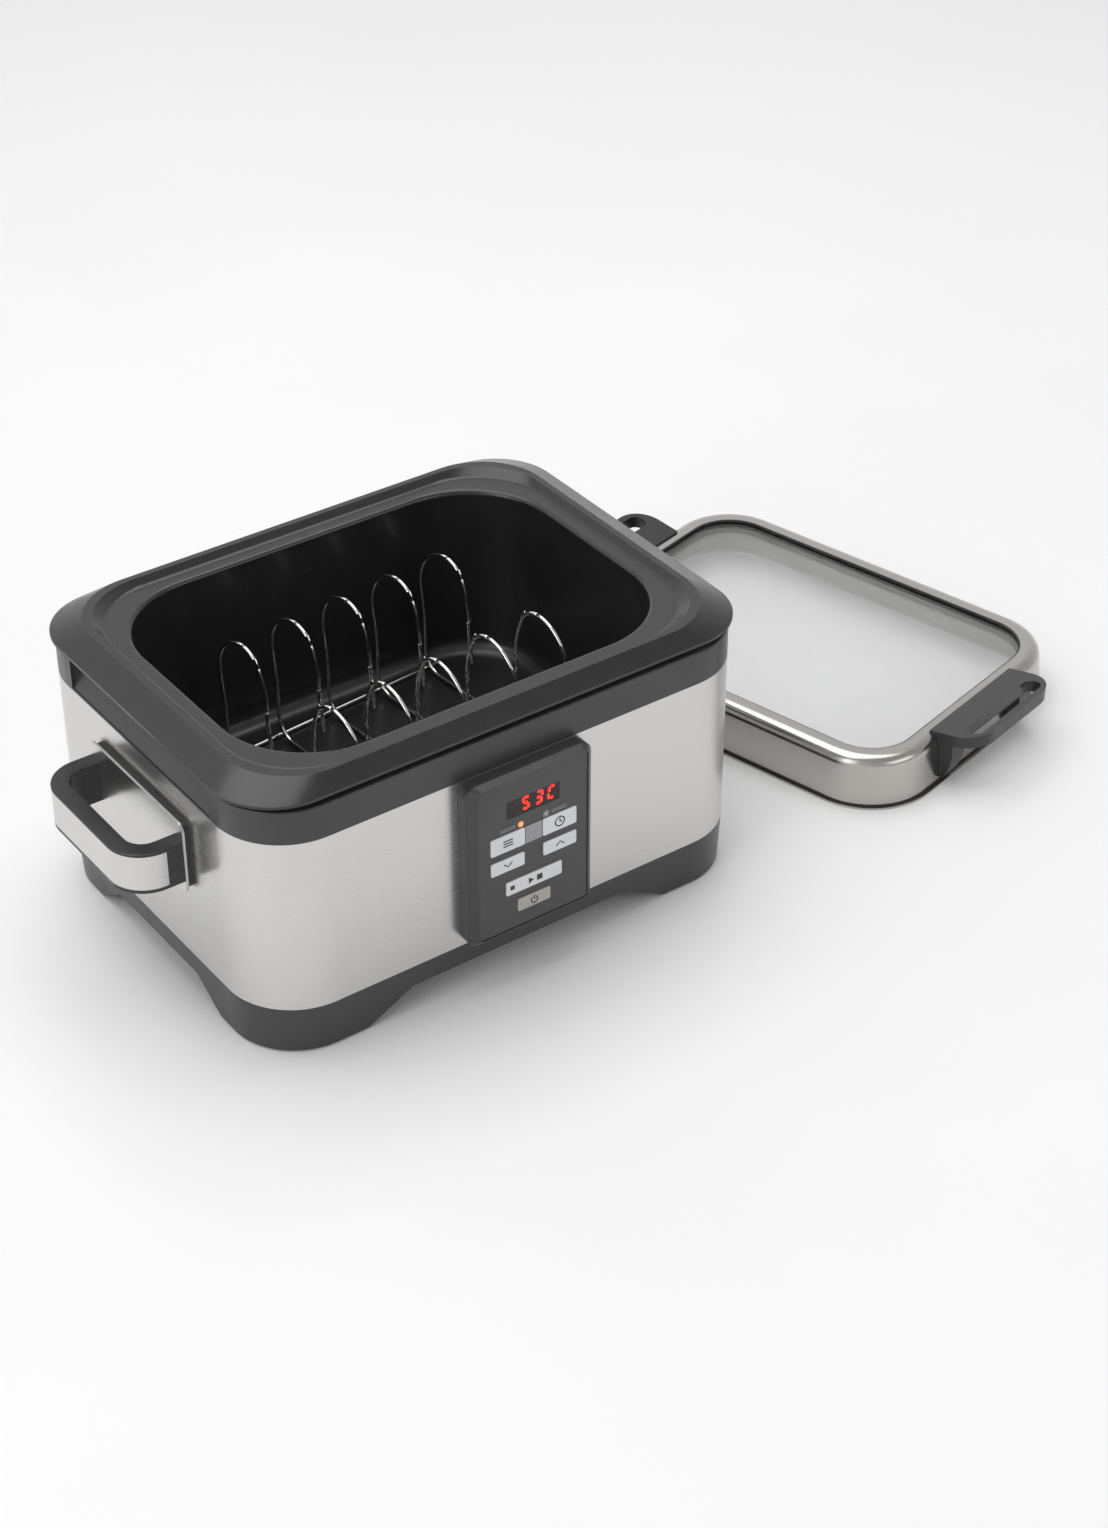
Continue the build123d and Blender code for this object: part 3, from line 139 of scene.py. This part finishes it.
def brushed(name, tone, rough, grain=(1.5, 1.5, 5200), aniso=0.5):
    """Sheet metal brushed along the walls, with faint clouding."""
    g = Graph(name, Metallic=1.0, Anisotropic=aniso)
    streak = g.noise(1.0, grain, 4.0, 0.6)
    cloud = g.noise(9.0, (1, 1, 0.4), 2.0)
    g.colour(streak, [c * 0.95 for c in tone], tone)
    mix = g.node("ShaderNodeMath", operation="ADD")
    g.link(g.ramp(streak, -0.01, 0.02), mix.inputs[0])
    g.link(g.ramp(cloud, rough - 0.02, rough + 0.03), mix.inputs[1])
    g.link(mix.outputs["Value"], g.shader.inputs["Roughness"])
    tangent = g.node("ShaderNodeTangent", direction_type="RADIAL", axis="Z")
    g.link(tangent.outputs["Tangent"], g.shader.inputs["Tangent"])
    return g.material


def moulded(name, tone, rough, grain=1400.0, depth=0.00004, lift=1.25, **more):
    """Moulded plastic: a fine spark-eroded grain over slow colour and gloss variation."""
    g = Graph(name, **more)
    g.colour(g.noise(14.0), tone, [c * lift for c in tone])
    g.roughness(g.noise(60.0), rough - 0.04, rough + 0.05)
    g.bump(g.noise(grain, detail=2.0), depth, 0.6)
    return g.material


def coated(name, tone, inside, flange, level):
    """A sprayed non-stick coating with tiny bright flecks, glossier on the flange above a level."""
    g = Graph(name, Specular_IOR_Level=0.5, Coat_Weight=0.25, Coat_Roughness=0.2)
    g.colour(g.noise(2600.0, detail=1.0), tone, [c * 2.4 for c in tone], 0.52, 0.8)
    height = g.node("ShaderNodeSeparateXYZ")
    g.link(g.coords(), height.inputs["Vector"])
    mix = g.node("ShaderNodeMath", operation="ADD")
    g.link(g.ramp(height.outputs["Z"], inside, flange, level - 0.006, level), mix.inputs[0])
    g.link(g.ramp(g.noise(45.0), -0.03, 0.05), mix.inputs[1])
    g.link(mix.outputs["Value"], g.shader.inputs["Roughness"])
    g.bump(g.noise(700.0, detail=2.0), 0.00003, 0.35)
    return g.material


def metal(name, tone, rough, grain=90.0):
    """Plain or polished metal with faint handling marks."""
    g = Graph(name, Metallic=1.0)
    g.colour(g.noise(grain), [c * 0.9 for c in tone], tone)
    g.roughness(g.noise(grain * 2.0), max(rough - 0.03, 0.03), rough + 0.05)
    g.bump(g.noise(grain * 6.0), 0.00002, 0.3)
    return g.material


def glass(name, tone, alpha, rough=0.0):
    g = Graph(name, Transmission_Weight=1.0, IOR=1.46, Alpha=alpha)
    g.colour(g.noise(30.0), tone, [min(1.0, c * 1.02) for c in tone])
    g.roughness(g.noise(25.0), rough, rough + 0.015)
    return g.material


def glowing(name, tone, strength, base):
    g = Graph(name, Roughness=0.3, Emission_Strength=strength)
    g.shader.inputs["Emission Color"].default_value = (*tone, 1)
    g.colour(g.noise(800.0), base, [c * 1.1 for c in base])
    return g.material


def circuit(name):
    g = Graph(name, Roughness=0.35)
    g.colour(g.noise(420.0, (1, 1, 1), 0.0), (0.01, 0.09, 0.035), (0.02, 0.2, 0.08), 0.48, 0.52)
    g.bump(g.noise(420.0, detail=0.0), 0.00005)
    return g.material


FINISH = {
    "brushed_steel": brushed("brushed_steel", (0.66, 0.652, 0.642), 0.27),
    # lid_steel is the brushed steel made darker: the lower tone is painted shade, standing in for the dark
    # surroundings that the lid reflects
    "lid_steel": brushed("lid_steel", (0.50, 0.485, 0.46), 0.2, (4, 4, 4200), 0.35),
    "dark_plastic": moulded("dark_plastic", (0.036, 0.036, 0.038), 0.32),
    "black_plastic": moulded("black_plastic", (0.022, 0.022, 0.023), 0.3),
    "rubber": moulded("rubber", (0.018, 0.018, 0.018), 0.55, 900.0),
    "panel_grey": moulded("panel_grey", (0.046, 0.046, 0.049), 0.34, 1800.0, 0.00002),
    "key_silver": moulded("key_silver", (0.66, 0.67, 0.68), 0.34, 2200.0, 0.00002, 1.06, Metallic=0.25),
    "strip_silver": moulded("strip_silver", (0.30, 0.30, 0.31), 0.36, 2200.0, 0.00002, 1.06, Metallic=0.2),
    "key_warm_grey": moulded("key_warm_grey", (0.40, 0.38, 0.35), 0.36, 2200.0, 0.00002, 1.06, Metallic=0.2),
    "pot_coating": coated("pot_coating", (0.012, 0.012, 0.013), 0.34, 0.26, 0.186),
    "polished_wire": metal("polished_wire", (0.78, 0.77, 0.75), 0.1, 200.0),
    "zinc_steel": metal("zinc_steel", (0.6, 0.6, 0.61), 0.32),
    "liner_metal": metal("liner_metal", (0.62, 0.62, 0.62), 0.35),
    "cast_aluminium": metal("cast_aluminium", (0.5, 0.5, 0.51), 0.45),
    "element_sheath": metal("element_sheath", (0.16, 0.15, 0.14), 0.4),
    "ceramic": moulded("ceramic", (0.72, 0.7, 0.64), 0.25, lift=1.08),
    "clear_glass": glass("clear_glass", (0.97, 0.985, 0.98), 0.4),
    "display_glass": glass("display_glass", (0.16, 0.03, 0.03), 1.0),
    "lit_red": glowing("lit_red", (1.0, 0.02, 0.01), 26.0, (0.5, 0.02, 0.01)),
    "lit_orange": glowing("lit_orange", (1.0, 0.12, 0.03), 4.0, (0.6, 0.1, 0.03)),
    "lamp_clear": moulded("lamp_clear", (0.3, 0.3, 0.3), 0.2),
    "lamp_dark": moulded("lamp_dark", (0.02, 0.02, 0.02), 0.2),
    "circuit_board": circuit("circuit_board"),
}


def dress_frame():
    """Gives every CAD node the finish that its record names."""
    for part in frame["record"]["subparts"]:
        node = NODES[part["node"]]
        node.data.materials.clear()
        node.data.materials.append(FINISH[part["material_slot"]])
        node.data.polygons.foreach_set("material_index", [0] * len(node.data.polygons))


# ---- raised marks on the keys and the overlay ----
def flat_shape(bm, points, depth, y):
    """A plate of the given outline, in X and Z, standing at depth y."""
    front = [bm.verts.new((x, y, z)) for x, z in points]
    back = [bm.verts.new((x, y + depth, z)) for x, z in points]
    bm.faces.new(front)
    bm.faces.new(back[::-1])
    count = len(points)
    for i in range(count):
        j = (i + 1) % count
        bm.faces.new((front[j], front[i], back[i], back[j]))


def stroke(points, width):
    """The outline of a line of the given width with square ends."""
    left, right = [], []
    for i, (x, z) in enumerate(points):
        a = Vector(points[max(i - 1, 0)])
        b = Vector(points[min(i + 1, len(points) - 1)])
        along = (b - a).normalized()
        side = Vector((-along.y, along.x)) * width / 2
        left.append((x + side.x, z + side.y))
        right.append((x - side.x, z - side.y))
    return left + right[::-1]


def arc(cx, cz, radius, start, end, steps=28):
    turns = [math.radians(start + (end - start) * i / steps) for i in range(steps + 1)]
    return [(cx + radius * math.cos(t), cz + radius * math.sin(t)) for t in turns]


MARK_THICK = 0.12 * MM
MARK_LINE = 0.8 * MM


def mark(name, outlines, y, body, finish):
    """One raised mark: thin plates that stand on the surface at depth y."""
    bm = bmesh.new()
    for points in outlines:
        flat_shape(bm, points, MARK_THICK, y - MARK_THICK)
    bmesh.ops.recalc_face_normals(bm, faces=bm.faces)
    mesh = bpy.data.meshes.new(name)
    bm.to_mesh(mesh)
    bm.free()
    mesh.materials.append(FINISH[finish])
    piece = bpy.data.objects.new(name, mesh)
    bpy.context.scene.collection.objects.link(piece)
    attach(piece, body)
    return piece


def centre(node):
    low, high = (Vector(c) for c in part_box(node))
    return (low + high) / 2, low.y


def key_marks():
    w = MARK_LINE
    for node, sign in (("down_key", -1), ("up_key", 1)):
        c, y = centre(node)
        tip = 1.3 * MM * sign
        points = [(c.x - 3 * MM, c.z - tip), (c.x, c.z + tip), (c.x + 3 * MM, c.z - tip)]
        mark(node + "_mark", [stroke(points, w)], y, node, "lamp_dark")
    c, y = centre("power_key")
    ring = arc(c.x, c.z - 0.3 * MM, 2.3 * MM, 125, 415)
    bar = [(c.x, c.z + 0.2 * MM), (c.x, c.z + 3.0 * MM)]
    mark("power_key_mark", [stroke(ring, w), stroke(bar, w)], y, "power_key", "lamp_dark")
    c, y = centre("menu_key")
    heights = [c.z + k * 1.9 * MM for k in (-1, 0, 1)]
    rows = [stroke([(c.x - 3.4 * MM, z), (c.x + 3.4 * MM, z)], w) for z in heights]
    mark("menu_key_mark", rows, y, "menu_key", "lamp_dark")
    c, y = centre("time_key")
    face = arc(c.x, c.z, 3.3 * MM, 0, 359)
    hands = [(c.x + 1.6 * MM, c.z - 0.6 * MM), (c.x, c.z), (c.x, c.z + 2.3 * MM)]
    mark("time_key_mark", [stroke(face, w), stroke(hands, w)], y, "time_key", "lamp_dark")
    c, y = centre("start_key")
    x = c.x - 1.5 * MM
    play = [(x - 2.6 * MM, c.z - 2.2 * MM), (x + 1.2 * MM, c.z), (x - 2.6 * MM, c.z + 2.2 * MM)]
    stop = [(x + a * MM, c.z + b * MM) for a, b in ((3.4, -2), (7.4, -2), (7.4, 2), (3.4, 2))]
    mark("start_key_mark", [play, stop], y, "start_key", "lamp_dark")


def overlay_marks():
    """A ring round each mode lamp, and a short line beside it."""
    _, y = centre("panel_overlay")
    for node, side in (("sous_vide_lamp", -1), ("slow_cook_lamp", 1)):
        c, _ = centre(node)
        ring = stroke(arc(c.x, c.z, 2.2 * MM, 0, 359), 0.35 * MM)
        near, far = c.x + side * 4 * MM, c.x + side * 15 * MM
        heights = [c.z + k * MM for k in (-0.7, 0.7)]
        lines = [stroke([(near, z), (far, z)], 0.45 * MM) for z in heights]
        mark(node + "_mark", [ring] + lines, y, "base", "strip_silver")


# ---- the pouch rack as smooth wire ----
RACK_TURN = math.radians(4.8)
RACK_PITCH = 40.3 * MM
RACK_COUNT = 5
RACK_FOOT = 70.5 * MM
WIRE = 1.3 * MM
WELD_BEAD = 1.7 * MM
WELD_HEIGHT = 2.3 * MM


def rounded(points, radii, steps=10):
    """The polyline with each inner corner turned into an arc of its radius."""
    path = [points[0]]
    for before, corner, after, radius in zip(points, points[1:], points[2:], radii):
        into, out = (corner - before).normalized(), (after - corner).normalized()
        bend = into.angle(out)
        reach = radius * math.tan(bend / 2)
        weight = math.cos(bend / 2)
        start, end = corner - into * reach, corner + out * reach
        for i in range(steps + 1):
            t = i / steps
            a, b, c = (1 - t) ** 2, 2 * t * (1 - t) * weight, t * t
            path.append((start * a + corner * b + end * c) / (a + b + c))
    path.append(points[-1])
    return path


def add_tube(bm, path, radius, side, sides=14):
    """A round tube along a flat path whose plane is square to side."""
    rings = []
    for i, spot in enumerate(path):
        along = (path[min(i + 1, len(path) - 1)] - path[max(i - 1, 0)]).normalized()
        across = along.cross(side)
        turns = [2 * math.pi * k / sides for k in range(sides)]
        offsets = [(side * math.cos(t) + across * math.sin(t)) * radius for t in turns]
        rings.append([bm.verts.new(spot + offset) for offset in offsets])
    for a, b in zip(rings, rings[1:]):
        for k in range(sides):
            j = (k + 1) % sides
            bm.faces.new((a[k], a[j], b[j], b[k]))
    bm.faces.new(rings[0][::-1])
    bm.faces.new(rings[-1])


def divider_points():
    """The divider's corners across the rack, each with the radius of its bend."""
    half = [(70.5, 2.3, 0), (70.5, 42, 60), (73.5, 66, 60), (73.5, 98.8, 20.2),
            (36.1, 98.8, 28.8), (22.5, 78, 8), (24.5, 54, 30), (21, 30, 15)]
    ends = [(t, z) for t, z, _ in reversed(half)] + [(-t, z) for t, z, _ in half]
    radii = [r * MM for _, _, r in half[1:]]
    return [Vector((0, t * MM, z * MM)) for t, z in ends], radii + radii[::-1]


def wire_rack():
    """The rack's five shaped wires as smooth round wire, with weld beads."""
    low, high = (Vector(c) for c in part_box("rack_rods"))
    middle = Vector(((low.x + high.x) / 2, (low.y + high.y) / 2, low.z))
    place = Matrix.Translation(middle) @ Matrix.Rotation(RACK_TURN, 4, "Z")
    points, radii = divider_points()
    path = rounded(points, radii)
    for i in range(RACK_COUNT):
        bm = bmesh.new()
        add_tube(bm, path, WIRE, Vector((1, 0, 0)))
        for side in (-1, 1):
            made = bmesh.ops.create_icosphere(bm, subdivisions=3, radius=WELD_BEAD)
            for v in made["verts"]:
                v.co = Vector((v.co.x * 1.2, v.co.y * 1.05 + side * RACK_FOOT, v.co.z * 0.55 + WELD_HEIGHT))
        bm.transform(place @ Matrix.Translation(((i - 2) * RACK_PITCH, 0, 0)))
        wire = finish_mesh(bm, f"divider_wire_{i + 1}", "polished_wire")
        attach(wire, "rack")
        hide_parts("rack_dividers")


def finish_mesh(bm, name, finish):
    bmesh.ops.recalc_face_normals(bm, faces=bm.faces)
    for f in bm.faces:
        f.smooth = True
    mesh = bpy.data.meshes.new(name)
    bm.to_mesh(mesh)
    bm.free()
    mesh.materials.append(FINISH[finish])
    piece = bpy.data.objects.new(name, mesh)
    bpy.context.scene.collection.objects.link(piece)
    return piece


# ---- floor and light ----
FLOOR_HALF = 6.0


def make_floor():
    bm = bmesh.new()
    bmesh.ops.create_grid(bm, x_segments=8, y_segments=8, size=FLOOR_HALF)
    mesh = bpy.data.meshes.new("floor")
    bm.to_mesh(mesh)
    bm.free()
    g = Graph("floor", Roughness=0.55, Specular_IOR_Level=0.3)
    g.colour(g.noise(3.0), (0.86, 0.86, 0.86), (0.88, 0.88, 0.88))
    mesh.materials.append(g.material)
    floor = bpy.data.objects.new("floor", mesh)
    bpy.context.scene.collection.objects.link(floor)


def area(name, place, aim, size, power):
    data = bpy.data.lights.new(name, "AREA")
    data.shape = "RECTANGLE"
    data.size, data.size_y = size
    data.energy = power
    lamp = bpy.data.objects.new(name, data)
    lamp.location = place
    lamp.rotation_euler = (Vector(aim) - Vector(place)).to_track_quat("-Z", "Y").to_euler()
    bpy.context.scene.collection.objects.link(lamp)


def make_light():
    world = bpy.data.worlds.new("studio")
    world.use_nodes = True
    tree = world.node_tree
    coord = tree.nodes.new("ShaderNodeTexCoord")
    dot = tree.nodes.new("ShaderNodeVectorMath")
    dot.operation = "DOT_PRODUCT"
    dot.inputs[1].default_value = (0.25, -0.6, 0.76)
    shade = tree.nodes.new("ShaderNodeMapRange")
    for key, value in zip(RANGE_SOCKETS, (-0.1, 0.9, 0.9, 0.45)):
        shade.inputs[key].default_value = value
    tree.links.new(coord.outputs["Generated"], dot.inputs[0])
    tree.links.new(dot.outputs["Value"], shade.inputs["Value"])
    tree.nodes["Background"].inputs["Color"].default_value = (1, 1, 1, 1)
    tree.links.new(shade.outputs["Result"], tree.nodes["Background"].inputs["Strength"])
    bpy.context.scene.world = world
    area("overhead", (0.1, 0.5, 2.3), (0.1, 0, 0.1), (2.6, 1.8), 29)
    area("left", (-2.2, -0.6, 1.3), (0, 0, 0.1), (1.2, 1.8), 12)
    area("front", (0.9, -2.3, 1.2), (0, 0, 0.1), (1.8, 1.0), 7)


make_camera()
dress_frame()
key_marks()
overlay_marks()
wire_rack()
make_floor()
make_light()

bpy.context.scene.view_settings.view_transform = "Standard"
